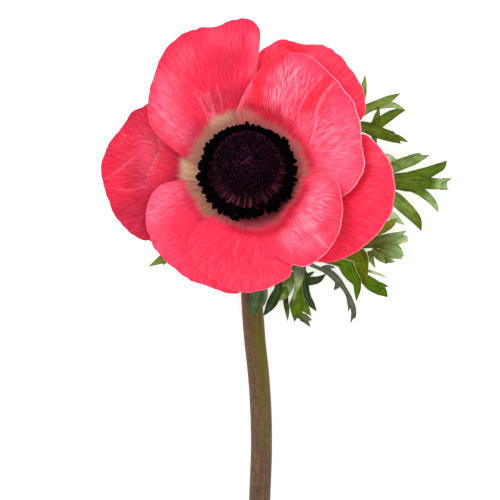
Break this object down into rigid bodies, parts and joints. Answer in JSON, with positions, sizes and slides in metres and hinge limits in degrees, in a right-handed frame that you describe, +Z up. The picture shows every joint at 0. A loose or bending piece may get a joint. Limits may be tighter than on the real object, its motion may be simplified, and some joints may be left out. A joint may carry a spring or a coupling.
{
  "type": "anemone flower",
  "caption": "Cut anemone flower laid down, with waved overlapping tepals, a dark dome in a ring of stamens, cut bracts and a bare stem.",
  "frame": {"origin": "on the surface that the flower lies on, under the middle of its bounding box", "axes": "+Z up out of the face of the bloom, +Y along the stem from its cut end towards the bloom"},
  "size_m": [0.1076, 0.1918, 0.0543],
  "materials": {
    "tepal": "satin",
    "bract": "satin",
    "stem": "satin",
    "stamen": "matte",
    "pistil": "matte"
  },
  "bodies": {
    "root": {"stem": "stem", "bract_1": "bract", "bract_2": "bract", "bract_3": "bract", "tepal_1": "tepal", "tepal_2": "tepal", "tepal_3": "tepal", "tepal_4": "tepal", "tepal_5": "tepal", "tepal_6": "tepal", "tepal_7": "tepal", "stamens": "stamen", "pistil_head": "pistil"}
  },
  "joints": []
}
